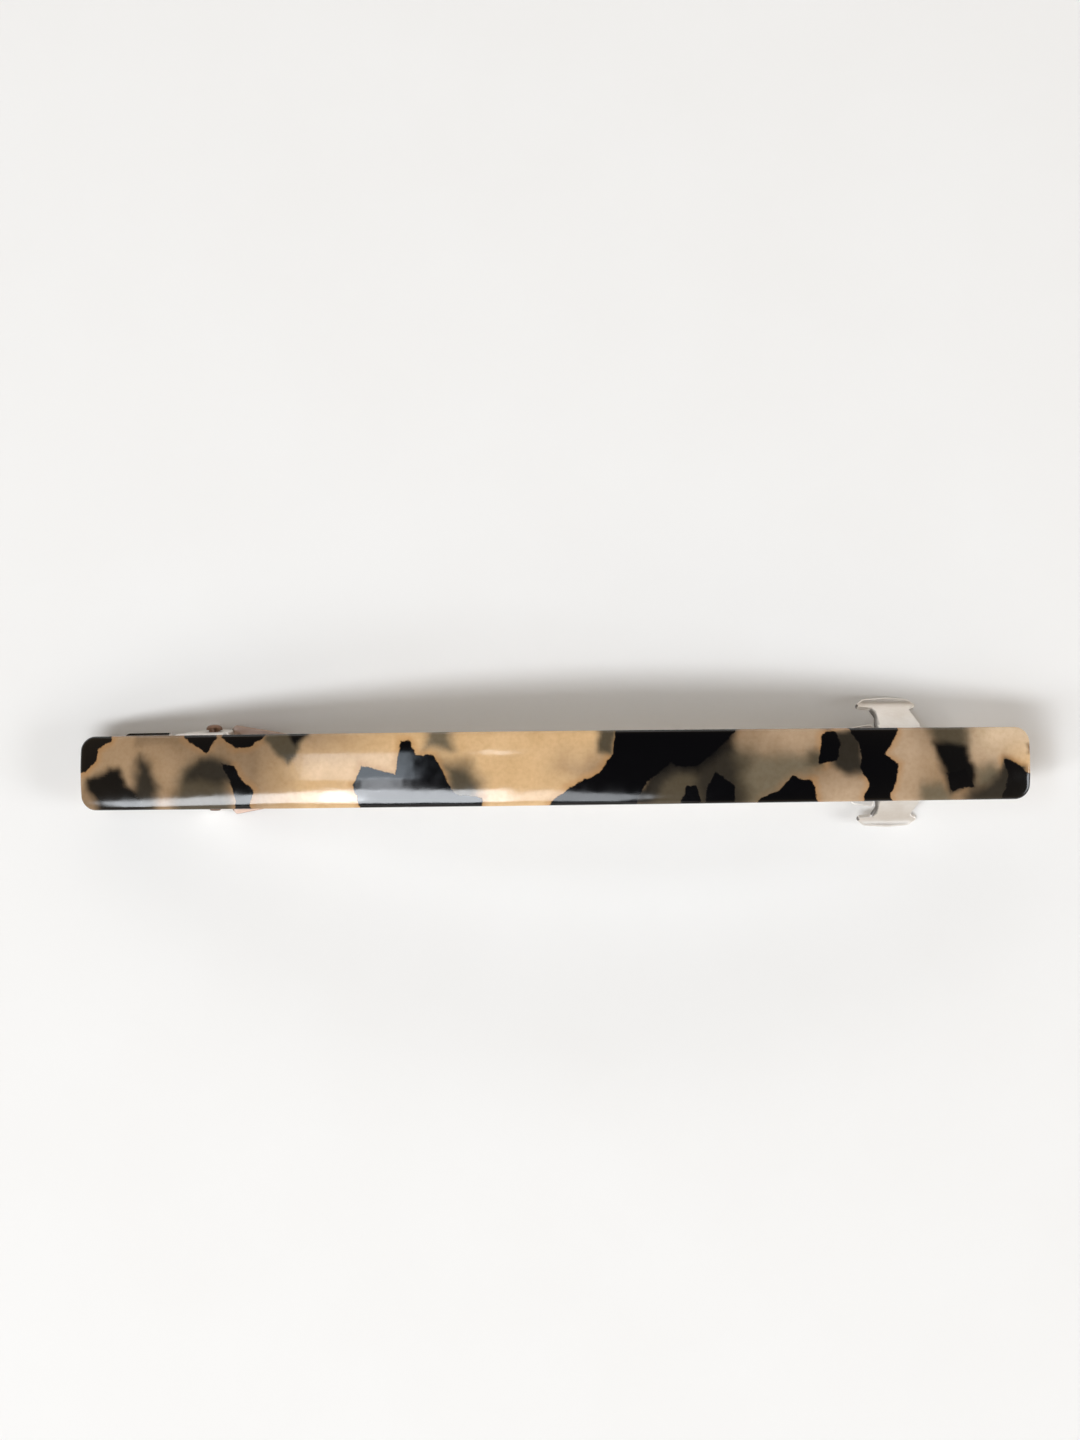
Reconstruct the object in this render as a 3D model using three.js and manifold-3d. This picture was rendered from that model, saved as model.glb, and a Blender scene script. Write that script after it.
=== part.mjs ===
// A hair barrette: a long, narrow bar of tortoiseshell acetate on a steel French clip.
//
// The clip's base plate follows the bar's arch and is pinned to its back by three studs.
// A clasp arm hinges on the plate at one end. At the other end two sprung ears, squeezed
// between finger and thumb, let go of it. A thin steel bow inside presses the hair on the arm.
//
// Millimetres, +Z up. X runs along the bar from the hinge end to the latch end. The barrette
// lies on a table at z = 0 as it lies when put down: on the arm's hinge end and on the ears.

import * as THREE from "three";
import { mergeVertices } from "three/addons/utils/BufferGeometryUtils.js";
import Module from "manifold-3d";

const wasm = await Module();
wasm.setup();

// ---------------------------------------------------------------- driving dimensions

const BAR = {
  length: 100, // straight from tip to tip
  hingeEndWidth: 7.8, // the bar is a little wider at its hinge end
  latchEndWidth: 7.55,
  thickness: 3,
  archRadius: 150, // of the polished face
  cornerRadius: 1.5,
};
const SHEET = 0.6; // the clip's sheet steel
const GLUE_LINE = 0.05; // between the bar's back and the base plate
const BAR_OFFSET = -0.25; // the bar sits this far in front of the clip's centre line

const BASE = {
  hingeEnd: -45.4,
  latchEnd: 44,
  tongueHalfWidth: 3.95, // of the wide tongue that carries the hinge lugs
  tongueEndsAt: -34.3,
  taper: 0.8, // the length over which the plate changes width
  halfWidth: 3,
  latchHalfWidth: 3.3, // where the ears are folded from it
  chamfer: 0.5,
};
const HINGE = {
  station: -37.6,
  drop: 2.9, // from the plate's underside to the pin's centre
  pinRadius: 0.6,
  headRadius: 0.85,
  headThickness: 0.6,
  lugOutside: 4.15, // the outer faces of the plate's two lugs, from the clip's centre
  lugRadius: 2,
  armLugOutside: 3.45,
  armLugRadius: 1.45,
  armLugHole: 0.68,
};
const ARM = {
  topAtMiddle: -10.7, // below the top of the arch
  archRadius: 325,
  shoulderX: -33.9,
  shoulderHalfWidth: 4.63,
  halfWidth: 2.9,
  taperEndsAt: -23.5,
  flareRear: 4.05, // before the notches for the ears the arm flares out, further on its front side
  flareFront: 4.75,
  notch: { from: -3.4, to: 3.2 }, // along the arm, from the ears' middle
  cornerRadius: 0.4,
  waistHalfWidth: 1.7, // between the ears
  tip: 42.9,
};
const EAR = {
  station: 38,
  thickness: 0.5,
  rootY: 3.03, // from the clip's centre to the middle of the sheet
  lobeHalfWidth: 3.1,
  rootHalfWidth: 2.9,
  neckLeft: 1.5, // from the ear's middle: the neck is cut in deeper on the hinge side
  neckRight: 2.35,
  // The middle of its sheet, seen along the clip: [outwards from rootY, up from the plate].
  fold: [[0, -0.12], [0, -1.6], [0.05, -3], [0.5, -4.6], [1.4, -5.8], [2.5, -6.7], [3.3, -7.1], [3.9, -7.05]],
};
const BOW = {
  thickness: 0.35,
  halfWidth: 1.8,
  eyeRadius: 0.68, // inside the curl that turns on the hinge pin
  risesTo: -32.4, // where the strip has come up beside the base plate
  end: 31,
  middleGap: 1.4, // between the bow and the plate at the middle
  endGap: 0.15,
};
const STUD = {
  stations: { hinge_end: -42.4, middle: 0, latch_end: 42.6 },
  shankRadius: 0.85,
  holeRadius: 0.9,
  depthInBar: 1.6,
  headRadius: 1.45,
  headThickness: 0.5,
};

// How it lies on a table: on the ears' lobes and the arm's heel, so it leans to the hinge end.
const REST = { tiltDegrees: 2.16, lift: 14.72, shift: -0.32 };

// ---------------------------------------------------------------- places on the arch

const PLATE_TOP = BAR.archRadius - BAR.thickness - GLUE_LINE; // radii about the arch's centre
const PLATE_UNDERSIDE = PLATE_TOP - SHEET;
const PIN_RADIUS_FROM_CENTRE = PLATE_UNDERSIDE - HINGE.drop;

// The height of an arc at x. Its highest point is at x = 0, at the height given.
const arcHeight = (radius, top, x) => top - radius + Math.sqrt(radius ** 2 - x ** 2);
const plateUnderside = (x) => arcHeight(PLATE_UNDERSIDE, PLATE_UNDERSIDE - BAR.archRadius, x);
const armTop = (x) => arcHeight(ARM.archRadius, ARM.topAtMiddle, x);

// A frame on the bar's arch: x along the arch, y across it, z straight away from its centre.
// The station is the x of the place on the polished face that the frame lies under.
function archFrame(station, radius) {
  const turn = Math.asin(station / BAR.archRadius);
  return new THREE.Matrix4()
    .makeRotationY(turn)
    .setPosition(radius * Math.sin(turn), 0, radius * Math.cos(turn) - BAR.archRadius);
}
const hingeFrame = archFrame(HINGE.station, PIN_RADIUS_FROM_CENTRE);
const earFrame = archFrame(EAR.station, PLATE_UNDERSIDE);
const earX = new THREE.Vector3().setFromMatrixPosition(earFrame).x;
const pin = new THREE.Vector3().setFromMatrixPosition(hingeFrame);

// ---------------------------------------------------------------- solids and meshes

// A closed three.js geometry as a manifold-3d solid, for joining and cutting.
function solidOf(geometry, matrix = new THREE.Matrix4()) {
  const bare = (geometry.index ? geometry.toNonIndexed() : geometry.clone()).applyMatrix4(matrix);
  bare.deleteAttribute("normal");
  bare.deleteAttribute("uv");
  const merged = mergeVertices(bare, 1e-4);
  return new wasm.Manifold(
    new wasm.Mesh({
      numProp: 3,
      vertProperties: merged.attributes.position.array,
      triVerts: new Uint32Array(merged.index.array),
    }),
  );
}

function meshOf(name, solid, material) {
  const { vertProperties, triVerts } = solid.getMesh();
  const geometry = new THREE.BufferGeometry()
    .setAttribute("position", new THREE.BufferAttribute(vertProperties, 3))
    .setIndex(new THREE.BufferAttribute(triVerts, 1))
    .toNonIndexed();
  geometry.computeVertexNormals();
  const mesh = new THREE.Mesh(geometry, material);
  mesh.name = name;
  return mesh;
}

// A shape drawn on the plane of two directions, extruded from low to high along their cross product.
function prism(shape, across, up, low, high, frame = new THREE.Matrix4()) {
  const [x, y] = [across, up].map((v) => new THREE.Vector3(...v).normalize());
  const z = new THREE.Vector3().crossVectors(x, y);
  const place = new THREE.Matrix4().makeBasis(x, y, z).setPosition(z.clone().multiplyScalar(low));
  const options = { depth: high - low, bevelEnabled: false, curveSegments: 5 };
  return solidOf(new THREE.ExtrudeGeometry(shape, options), place.premultiply(frame));
}
const fromAbove = (shape, low = -40, high = 10) => prism(shape, [1, 0, 0], [0, 1, 0], low, high);
// Extruded from y = low to y = high. The shape's y is the part's z.
const fromTheSide = (shape, low, high, frame) =>
  prism(shape, [1, 0, 0], [0, 0, 1], -high, -low, frame);

// ---------------------------------------------------------------- outlines

const points = (list) => new THREE.Shape(list.map(([x, y]) => new THREE.Vector2(x, y)));

// An outline given by its rear and front halves, each from left to right and on the +y side.
const facing = (rear, front) => points([...rear, ...front.map(([x, y]) => [x, -y]).reverse()]);
const mirrored = (half) => facing(half, half);

function arcPoints(radius, centreZ, fromX, toX, steps) {
  const from = Math.asin(fromX / radius);
  const to = Math.asin(toX / radius);
  return Array.from({ length: steps + 1 }, (_, i) => {
    const turn = from + ((to - from) * i) / steps;
    return [radius * Math.sin(turn), centreZ + radius * Math.cos(turn)];
  });
}

// The side view of a strip bent to an arch, with its ends cut square to it.
function arched(outerRadius, innerRadius, centreZ, fromX, toX, steps) {
  const shrink = innerRadius / outerRadius;
  return points([
    ...arcPoints(outerRadius, centreZ, fromX, toX, steps),
    ...arcPoints(innerRadius, centreZ, fromX * shrink, toX * shrink, steps).reverse(),
  ]);
}

// Points on a circle, from one angle to another.
function turned(cx, cy, radius, fromDegrees, toDegrees, steps = 6) {
  return Array.from({ length: steps + 1 }, (_, i) => {
    const turn = THREE.MathUtils.degToRad(fromDegrees + ((toDegrees - fromDegrees) * i) / steps);
    return [cx + radius * Math.cos(turn), cy + radius * Math.sin(turn)];
  });
}

// The side view of a strip whose centre line runs through the points given.
function ribbon(centreLine, thickness) {
  const curve = centreLine.map(([x, y]) => new THREE.Vector2(x, y));
  const side = (sign) =>
    curve.map((p, i) => {
      const ahead = curve[Math.min(i + 1, curve.length - 1)];
      const behind = curve[Math.max(i - 1, 0)];
      const along = ahead.clone().sub(behind).normalize();
      return [p.x - (sign * along.y * thickness) / 2, p.y + (sign * along.x * thickness) / 2];
    });
  return points([...side(1), ...side(-1).reverse()]);
}

function cylinder(radius, low, high, frame) {
  const geometry = new THREE.CylinderGeometry(radius, radius, high - low, 24);
  geometry.translate(0, (low + high) / 2, 0);
  return solidOf(geometry, frame);
}
const ALONG_Z = new THREE.Matrix4().makeRotationX(Math.PI / 2); // turns a cylinder's Y to +Z

// ---------------------------------------------------------------- the acetate bar

function acetateBar() {
  const halfLength = BAR.length / 2;
  const r = BAR.cornerRadius;
  const outline = mirrored([
    ...turned(-halfLength + r, BAR.hingeEndWidth / 2 - r, r, 180, 90),
    ...turned(halfLength - r, BAR.latchEndWidth / 2 - r, r, 90, 0),
  ]);
  const back = BAR.archRadius - BAR.thickness;
  const side = arched(BAR.archRadius, back, -BAR.archRadius, -halfLength, halfLength, 41);
  let bar = fromTheSide(side, -10, 10).intersect(fromAbove(outline));
  for (const station of Object.values(STUD.stations)) {
    const hole = archFrame(station, back)
      .multiply(new THREE.Matrix4().makeTranslation(0, -BAR_OFFSET, 0))
      .multiply(ALONG_Z);
    bar = bar.subtract(cylinder(STUD.holeRadius, -1, STUD.depthInBar + 0.1, hole));
  }
  return bar;
}

// ---------------------------------------------------------------- the clip

// Two lugs folded down from the plate's sides hold the hinge pin.
function hingeLugs() {
  const r = HINGE.lugRadius;
  const top = HINGE.drop + SHEET / 2;
  const lug = points([
    [-3.7, top],
    ...turned(0, 0, r, 215, 360, 12),
    [r, top],
  ]);
  const low = HINGE.lugOutside - SHEET;
  const rear = fromTheSide(lug, low, HINGE.lugOutside, hingeFrame);
  const front = fromTheSide(lug, -HINGE.lugOutside, -low, hingeFrame);
  return rear.add(front);
}

function basePlate() {
  const { hingeEnd, latchEnd, tongueHalfWidth, tongueEndsAt, taper, halfWidth, chamfer } = BASE;
  const [latchFrom, latchTo] = [earX - EAR.rootHalfWidth - 0.3, earX + EAR.rootHalfWidth + 0.3];
  const outline = mirrored([
    [hingeEnd, tongueHalfWidth - chamfer],
    [hingeEnd + chamfer, tongueHalfWidth],
    [tongueEndsAt, tongueHalfWidth],
    [tongueEndsAt + taper, halfWidth],
    [latchFrom - taper, halfWidth],
    [latchFrom, BASE.latchHalfWidth],
    [latchTo, BASE.latchHalfWidth],
    [latchTo + taper, halfWidth],
    ...turned(latchEnd - halfWidth, 0, halfWidth, 90, 0, 8),
  ]);
  const side = arched(
    PLATE_TOP, PLATE_UNDERSIDE, -BAR.archRadius, hingeEnd - 1, latchEnd + 1, 41,
  );
  let plate = fromTheSide(side, -10, 10).intersect(fromAbove(outline)).add(hingeLugs());
  for (const station of Object.values(STUD.stations)) {
    const hole = archFrame(station, PLATE_UNDERSIDE).multiply(ALONG_Z);
    plate = plate.subtract(cylinder(STUD.holeRadius, -1, SHEET + 1, hole));
  }
  return plate.subtract(cylinder(HINGE.pinRadius + 0.04, -9, 9, hingeFrame));
}

function hingePin() {
  const { pinRadius, headRadius, headThickness, lugOutside } = HINGE;
  const end = lugOutside + 0.05;
  const profile = [
    [0, -end - 0.2],
    [pinRadius * 0.7, -end - 0.2],
    [pinRadius, -end],
    [pinRadius, end],
    [headRadius, end],
    [headRadius, end + headThickness * 0.6],
    [headRadius * 0.7, end + headThickness],
    [0, end + headThickness],
  ].map(([r, y]) => new THREE.Vector2(r, y));
  return solidOf(new THREE.LatheGeometry(profile, 24), hingeFrame);
}

// One of the three studs that hold the plate on the bar, its head under the plate.
function stud() {
  const { shankRadius, headRadius, headThickness, depthInBar } = STUD;
  const seat = -0.04; // the head's face, just under the plate
  const tip = SHEET + GLUE_LINE + depthInBar;
  const profile = [
    [0, seat - headThickness],
    [headRadius * 0.6, seat - headThickness * 0.9],
    [headRadius, seat - headThickness * 0.4],
    [headRadius, seat],
    [shankRadius, seat],
    [shankRadius, tip - 0.3],
    [shankRadius * 0.6, tip],
    [0, tip],
  ].map(([r, y]) => new THREE.Vector2(r, y));
  return solidOf(new THREE.LatheGeometry(profile, 24), ALONG_Z);
}

// The arm's two lugs stand up inside the plate's lugs and turn on the pin.
function armLugs() {
  const r = HINGE.armLugRadius;
  const foot = armTop(pin.x) - pin.z - SHEET / 2;
  const lug = points([
    [-0.5, foot],
    ...turned(0, 0, r, 200, 0, 12),
    [r + 0.5, foot + 0.25],
  ]);
  const atPin = new THREE.Matrix4().makeTranslation(pin.x, 0, pin.z);
  const low = HINGE.armLugOutside - SHEET;
  const rear = fromTheSide(lug, low, HINGE.armLugOutside, atPin);
  const front = fromTheSide(lug, -HINGE.armLugOutside, -low, atPin);
  return rear.add(front).subtract(cylinder(HINGE.armLugHole, -9, 9, atPin));
}

function claspArm() {
  const { shoulderX, shoulderHalfWidth, halfWidth, taperEndsAt, waistHalfWidth, tip } = ARM;
  const heel = pin.x - 0.5;
  const { notch, cornerRadius: round } = ARM;
  const [waistFrom, waistTo] = [earX + notch.from, earX + notch.to];
  const half = (flare) => [
    [heel, HINGE.armLugOutside],
    [shoulderX - 0.35, HINGE.armLugOutside],
    [shoulderX, shoulderHalfWidth - round],
    [shoulderX + round, shoulderHalfWidth],
    [taperEndsAt, halfWidth],
    [waistFrom - 3.4, halfWidth],
    [waistFrom - 2.2, flare - 0.35],
    [waistFrom - round, flare],
    [waistFrom, flare - round],
    [waistFrom, waistHalfWidth],
    [waistTo, waistHalfWidth],
    [waistTo, halfWidth - round],
    [waistTo + round, halfWidth],
    ...turned(tip - 2, halfWidth - 2, 2, 90, 0, 6),
  ];
  const outline = facing(half(ARM.flareRear), half(ARM.flareFront));
  const side = arched(
    ARM.archRadius, ARM.archRadius - SHEET, ARM.topAtMiddle - ARM.archRadius,
    heel - 1, tip + 1, 35,
  );
  return fromTheSide(side, -10, 10).intersect(fromAbove(outline)).add(armLugs());
}

// A sprung leaf: it curls round the hinge pin, rises to the plate and arches along it.
function tensionBow() {
  const { thickness, halfWidth, eyeRadius, risesTo, end, middleGap, endGap } = BOW;
  const curl = eyeRadius + thickness / 2;
  const half = thickness / 2;
  const eye = turned(pin.x, pin.z, curl, -20, -225, 18);
  const arch = new THREE.CatmullRomCurve3(
    [
      eye.at(-1),
      [pin.x + 0.9, pin.z + 2],
      [risesTo, plateUnderside(risesTo) - 0.5 - half],
      [risesTo / 2, plateUnderside(risesTo / 2) - middleGap * 0.8 - half],
      [0, plateUnderside(0) - middleGap - half],
      [end / 2, plateUnderside(end / 2) - middleGap * 0.75 - half],
      [end - 1.2, plateUnderside(end - 1.2) - endGap - half],
      [end, plateUnderside(end) - endGap - half - 0.45],
    ].map(([x, z]) => new THREE.Vector3(x, z, 0)),
  ).getPoints(44);
  const line = [...eye.slice(0, -1), ...arch.map((p) => [p.x, p.y])];
  return fromTheSide(ribbon(line, thickness), -halfWidth, halfWidth);
}

// A squeeze ear, in its own frame on the plate's underside: it comes down beside the arm,
// narrows to a neck and flares out to a rounded finger lobe.
function latchEar() {
  const { rootY, rootHalfWidth, neckLeft, neckRight, lobeHalfWidth, thickness, fold } = EAR;
  const middle = new THREE.CatmullRomCurve3(
    fold.map(([out, z]) => new THREE.Vector3(rootY + out, z, 0)),
  ).getPoints(22);
  const bent = ribbon(middle.map((p) => [p.x, p.y]), thickness);
  const sheet = prism(bent, [0, 1, 0], [0, 0, 1], -5, 5);

  // The outline as seen slantwise, from where it rises along y - z.
  const slant = (y, z) => (y - z) * Math.SQRT1_2;
  const neck = slant(rootY + 0.5, -4.3);
  const lobe = slant(rootY + 2.9, -6.9);
  const rim = slant(rootY + 4.2, -7.05) + 0.1;
  const outline = points([
    [-rootHalfWidth, 0],
    [-rootHalfWidth, neck - 3],
    [-neckLeft - 0.3, neck - 1],
    [-neckLeft, neck + 1],
    [-neckLeft - 0.1, lobe - 0.9],
    [-lobeHalfWidth + 0.2, lobe - 0.45],
    [-lobeHalfWidth, lobe],
    [-lobeHalfWidth + 0.5, lobe + 0.5],
    [-1.2, rim - 0.1],
    [1.2, rim - 0.1],
    [lobeHalfWidth - 0.5, lobe + 0.5],
    [lobeHalfWidth, lobe],
    [lobeHalfWidth - 0.2, lobe - 0.45],
    [neckRight, lobe - 0.9],
    [rootHalfWidth, neck],
    [rootHalfWidth, 0],
  ]);
  return sheet.intersect(prism(outline, [1, 0, 0], [0, 1, -1], -30, 30));
}

// ---------------------------------------------------------------- materials

const acetate = new THREE.MeshStandardMaterial({ color: 0xc9a67c, roughness: 0.12, metalness: 0 });
const steel = new THREE.MeshStandardMaterial({ color: 0xc9c4bd, roughness: 0.3, metalness: 1 });
const springSteel = new THREE.MeshStandardMaterial({ color: 0xb9b5b0, roughness: 0.22, metalness: 1 });
const brass = new THREE.MeshStandardMaterial({ color: 0xb08d57, roughness: 0.35, metalness: 1 });

// ---------------------------------------------------------------- the assembly

const barrette = new THREE.Group();
const bar = meshOf("acetate_bar", acetateBar(), acetate);
bar.position.y = BAR_OFFSET;
barrette.add(
  bar,
  meshOf("base_plate", basePlate(), steel),
  meshOf("hinge_pin", hingePin(), steel),
  meshOf("clasp_arm", claspArm(), steel),
  meshOf("tension_bow", tensionBow(), springSteel),
);
for (const [place, station] of Object.entries(STUD.stations)) {
  const mesh = meshOf(`stud_${place}`, stud(), brass);
  mesh.applyMatrix4(archFrame(station, PLATE_UNDERSIDE));
  barrette.add(mesh);
}
const ear = latchEar();
for (const [name, mirror] of [["latch_ear_rear", 1], ["latch_ear_front", -1]]) {
  const mesh = meshOf(name, ear, springSteel);
  mesh.applyMatrix4(earFrame);
  mesh.scale.y = mirror;
  barrette.add(mesh);
}

barrette.rotation.y = -THREE.MathUtils.degToRad(REST.tiltDegrees);
barrette.position.set(REST.shift, 0, REST.lift);

const part = new THREE.Group();
part.add(barrette);
export default part;
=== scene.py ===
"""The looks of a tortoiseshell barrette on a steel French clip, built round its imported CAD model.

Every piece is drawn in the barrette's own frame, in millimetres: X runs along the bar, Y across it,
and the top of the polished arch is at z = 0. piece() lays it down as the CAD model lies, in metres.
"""

import math

import bmesh
import bpy
import numpy as np
from mathutils import Matrix, Vector
from mathutils.geometry import delaunay_2d_cdt
from mathutils.noise import noise as noise_at

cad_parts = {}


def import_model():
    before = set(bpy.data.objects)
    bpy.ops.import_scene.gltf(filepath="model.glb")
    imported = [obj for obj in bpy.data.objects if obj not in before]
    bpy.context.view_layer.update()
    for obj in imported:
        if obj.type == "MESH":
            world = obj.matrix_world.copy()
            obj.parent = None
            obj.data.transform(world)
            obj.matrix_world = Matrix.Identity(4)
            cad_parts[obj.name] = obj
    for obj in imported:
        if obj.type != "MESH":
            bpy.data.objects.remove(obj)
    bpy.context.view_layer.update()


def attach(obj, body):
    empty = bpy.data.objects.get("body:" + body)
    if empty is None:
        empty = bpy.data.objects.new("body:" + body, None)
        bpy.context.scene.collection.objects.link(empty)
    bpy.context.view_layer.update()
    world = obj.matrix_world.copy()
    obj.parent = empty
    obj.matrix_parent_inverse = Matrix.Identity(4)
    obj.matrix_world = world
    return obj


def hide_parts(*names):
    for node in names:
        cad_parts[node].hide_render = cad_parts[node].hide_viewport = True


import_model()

# ---------------------------------------------------------------- driving dimensions, millimetres

BAR_LENGTH = 100
BAR_WIDTHS = (7.8, 7.55)  # at the hinge end and at the latch end
BAR_THICKNESS = 3
BAR_CORNER = 1.5
BAR_OFFSET = -0.25  # the bar sits this far in front of the clip's centre line
GLUE_LINE = 0.05  # between the bar and the plate
FACE_RADIUS = 150  # of the arch, at the polished face
FACE_EDGE = 0.32  # how far the face is rounded over
BACK_EDGE = 0.35
CROWN = 0.45  # how much higher the face is in the middle than at its long edges

SHEET = 0.6  # the clip's sheet steel
RIM = 0.08  # the rounding of the sheet's edges
PLATE_MIDDLE = FACE_RADIUS - BAR_THICKNESS - GLUE_LINE - SHEET / 2
PLATE_UNDERSIDE = PLATE_MIDDLE - SHEET / 2
PLATE_ENDS = (-45.4, 44)
TONGUE_HALF_WIDTH = 3.95
PLATE_HALF_WIDTH = 3
FOLD_RADIUS = 0.55  # of the middle of a folded sheet

PIN = Vector((-35.96, 0, -11.13))
PIN_DROP = 2.9  # from the plate's underside to the pin's middle
LUG_FOLD_STARTS = 2.9
LUG_LEAN = 83  # degrees that the plate's lugs are folded through
LUG_RADIUS = 2

ARM_RADIUS = 325
ARM_TOP = -10.7
ARM_CENTRE_Z = ARM_TOP - ARM_RADIUS
ARM_MIDDLE = ARM_RADIUS - SHEET / 2
ARM_HALF_WIDTH = 2.9
ARM_LUG_FOLD_STARTS = 2.5
ARM_LUG_RADIUS = 1.4

EAR_STATION = 38
EAR_TURN = math.asin(EAR_STATION / FACE_RADIUS)
EAR_X = PLATE_UNDERSIDE * math.sin(EAR_TURN)
EAR_SHEET = 0.5
EAR_RIM = 0.12
EAR_ROOT_Y = 3.03
EAR_FOLD_STARTS = 2.48

BOW_THICKNESS = 0.35
BOW_HALF_WIDTH = 1.8
BOW_RIM = 0.12
BOW_END_ROUNDING = 1.5
BOW_EYE_RADIUS = 0.855

STUD_STATIONS = {"hinge_end": -42.4, "middle": 0, "latch_end": 42.6}

REST_TILT = math.radians(2.16)
REST = Matrix.Translation((-0.32, 0, 14.72)) @ Matrix.Rotation(-REST_TILT, 4, "Y")
TO_METRES = Matrix.Scale(0.001, 4)

# The photograph's camera: its place in metres, its lens in millimetres and its turns in radians.
CAMERA_PLACE = (-0.00131, -0.00081, 0.4062)
CAMERA_LENS = 95.25
CAMERA_PITCH = 0.0141
CAMERA_ROLL = -0.01145
FLOOR_REACH = 1.1  # metres from the middle to each edge


# ---------------------------------------------------------------- outlines


def arc(centre, radius, from_degrees, to_degrees, steps=12):
    """Points on a circle, as corners with no rounding of their own."""
    turns = np.radians(np.linspace(from_degrees, to_degrees, steps + 1))
    return [(centre[0] + radius * math.cos(t), centre[1] + radius * math.sin(t), 0) for t in turns]


def rounded(corners, step=0.3):
    """A closed outline through corners (x, y, radius), its long runs cut to the step given."""
    points = []
    for i, (x, y, radius) in enumerate(corners):
        here = Vector((x, y))
        if radius == 0:
            points.append(here)
            continue
        behind = (Vector(corners[i - 1][:2]) - here).normalized()
        ahead = (Vector(corners[(i + 1) % len(corners)][:2]) - here).normalized()
        half = behind.angle(ahead) / 2
        centre = here + (behind + ahead).normalized() * radius / math.sin(half)
        start = here + behind * radius / math.tan(half) - centre
        sweep = math.copysign(math.pi - 2 * half, behind.cross(ahead) * -1)
        steps = max(3, round(abs(sweep) * max(radius, 0.3) / 0.12))
        points += [centre + Matrix.Rotation(sweep * k / steps, 2) @ start for k in range(steps + 1)]
    cut = []
    for a, b in zip(points, points[1:] + points[:1]):
        pieces = max(1, round((b - a).length / step))
        cut += [tuple(a.lerp(b, k / pieces)) for k in range(pieces)]
    return cut


def facing(front, rear):
    """Corners of an anticlockwise outline, from its two long sides, each left to right with y > 0."""
    return [(x, -y, r) for x, y, r in front] + list(reversed(rear))


def hole(x, y, radius):
    """A round hole's outline, clockwise, so that the material is on its left."""
    return [point[:2] for point in arc((x, y), radius, 360, 0, 24)[:-1]]


def signed_distance(points, outline):
    """How far each point is outside an outline, below zero inside it."""
    corners = np.array(outline, float)
    nearest = np.full(len(points), np.inf)
    inside = np.zeros(len(points), bool)
    x, y = points[:, 0], points[:, 1]
    for (ax, ay), (bx, by) in zip(corners, np.roll(corners, -1, axis=0)):
        ex, ey = bx - ax, by - ay
        length2 = ex * ex + ey * ey
        if length2 < 1e-12:
            continue
        t = np.clip(((x - ax) * ex + (y - ay) * ey) / length2, 0, 1)
        nearest = np.minimum(nearest, np.hypot(x - ax - t * ex, y - ay - t * ey))
        if abs(ey) > 1e-12:
            inside ^= ((ay > y) != (by > y)) & (x < ax + (y - ay) * ex / ey)
    return np.where(inside, -nearest, nearest)


# ---------------------------------------------------------------- meshes


def quarter_round(radius, steps=3):
    """(inset, drop) from a face to a side, round an edge of that radius."""
    turns = np.linspace(0, math.pi / 2, steps + 1)
    return [(radius * (1 - math.sin(t)), radius * (1 - math.cos(t))) for t in turns]


def sheet_profile(thickness, rim=RIM):
    """(inset, height) from the lower face of a sheet to its upper face."""
    upper = [(rim * 1.5, thickness / 2)]
    upper += [(inset, thickness / 2 - drop) for inset, drop in quarter_round(rim)]
    return [(inset, -height) for inset, height in upper] + list(reversed(upper))


def filled(loops, spacing):
    """Points inside the loops on a grid, and the triangles that fill the loops."""
    corners = np.concatenate(loops)
    low, high = corners.min(0), corners.max(0)
    xs = np.arange(low[0] + spacing / 2, high[0], spacing)
    ys = np.arange(low[1] + spacing / 2, high[1], spacing)
    grid = np.array(np.meshgrid(xs, ys)).reshape(2, -1).T
    clear = signed_distance(grid, loops[0]) < -spacing * 0.55
    for loop in loops[1:]:
        clear &= signed_distance(grid, loop) > spacing * 0.55
    inner = grid[clear]
    edges, start = [], 0
    for loop in loops:
        count = len(loop)
        edges += [(start + i, start + (i + 1) % count) for i in range(count)]
        start += count
    flat = np.concatenate((corners, inner))
    made = delaunay_2d_cdt([Vector(p) for p in flat], edges, [], 0, 1e-7)
    sources = [ids[0] for ids in made[3]]
    triangles = np.array([[sources[i] for i in face] for face in made[2]])
    middles = flat[triangles].mean(1)
    kept = signed_distance(middles, loops[0]) < 0
    for loop in loops[1:]:
        kept &= signed_distance(middles, loop) > 0
    return inner, triangles[kept]


def inward(outline):
    """The mitred normals of an outline, pointing into the material."""
    ahead = np.roll(outline, -1, axis=0) - outline
    ahead /= np.linalg.norm(ahead, axis=1)[:, None]
    left = np.column_stack((-ahead[:, 1], ahead[:, 0]))
    both = left + np.roll(left, 1, axis=0)
    share = 1 + (left * np.roll(left, 1, axis=0)).sum(1)
    return both / np.maximum(share, 0.4)[:, None]


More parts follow.
